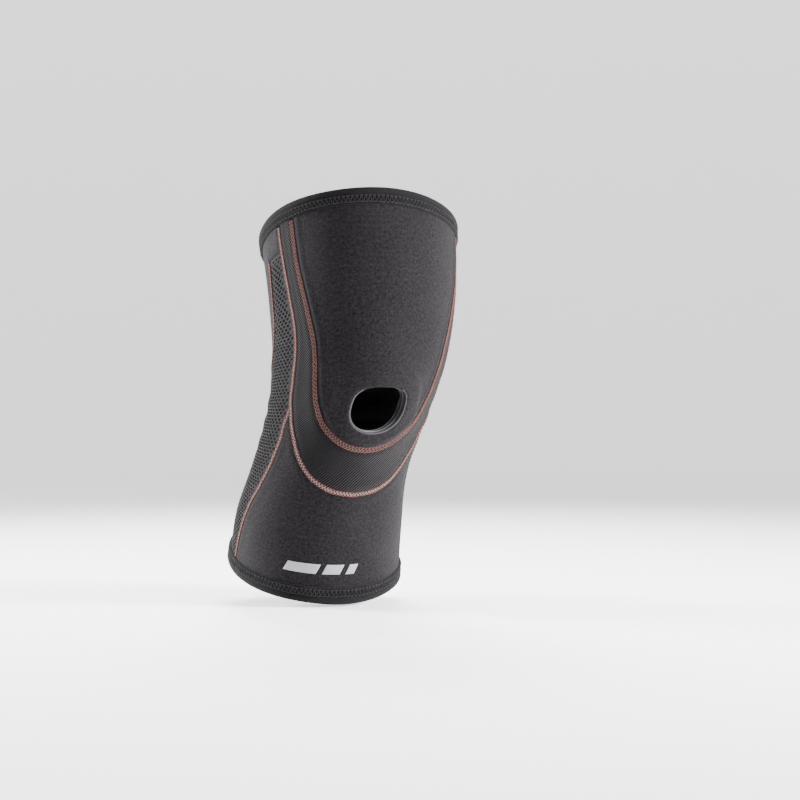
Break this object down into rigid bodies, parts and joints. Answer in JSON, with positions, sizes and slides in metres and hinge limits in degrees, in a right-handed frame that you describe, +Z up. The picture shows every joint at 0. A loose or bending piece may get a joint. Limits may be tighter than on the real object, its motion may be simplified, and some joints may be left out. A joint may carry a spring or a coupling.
{
  "type": "knee brace",
  "caption": "Open patella knee sleeve: a soft bent tube with a thigh panel, horseshoe knee band, shin panel, ventilated back and a rounded kneecap opening.",
  "frame": {"origin": "bending axis of the knee, on the middle line of the leg inside the sleeve", "axes": "+Z up the leg towards the thigh hem, -Y out of the kneecap opening, -X the outer side of a right leg"},
  "size_m": [0.1653, 0.18, 0.2937],
  "materials": {
    "neoprene_face": "matt brushed knit laminated on neoprene",
    "twill_knit": "matt ribbed stretch twill",
    "air_mesh": "perforated warp knit, matt",
    "neoprene_core": "cut closed-cell foam",
    "binding_tape": "soft elastic binding, matt",
    "coral_thread": "twisted polyester thread",
    "grey_thread": "twisted polyester thread",
    "transfer_print": "thin heat-transfer film"
  },
  "bodies": {
    "thigh_part": {"front_thigh_panel": "neoprene_face", "patella_band": "twill_knit", "patella_pad": "neoprene_core", "rear_thigh_panel": "neoprene_face", "binding_thigh": "binding_tape", "stitch_band_inner": "coral_thread", "stitch_band_outer": "coral_thread", "stitch_rear_thigh": "coral_thread", "stitch_hem_thigh": "grey_thread"},
    "calf_part": {"shin_panel": "neoprene_face", "back_mesh_panel": "air_mesh", "binding_calf": "binding_tape", "stitch_shin_lateral": "coral_thread", "stitch_shin_medial": "coral_thread", "stitch_hem_calf": "grey_thread", "transfer_bar_long": "transfer_print", "transfer_bar_middle": "transfer_print", "transfer_bar_short": "transfer_print"}
  },
  "joints": [
    {"name": "knee_flexion", "type": "hinge", "parent": "thigh_part", "child": "calf_part", "pos_m": [0, 0, 0], "axis": [1, 0, 0], "range_deg": [-42, 60], "stiffness_Nm_per_rad": 1.2, "deforming": ["front_thigh_panel", "patella_band", "patella_pad", "rear_thigh_panel", "stitch_band_inner", "stitch_band_outer", "stitch_rear_thigh", "shin_panel", "back_mesh_panel", "stitch_shin_lateral", "stitch_shin_medial"]}
  ]
}
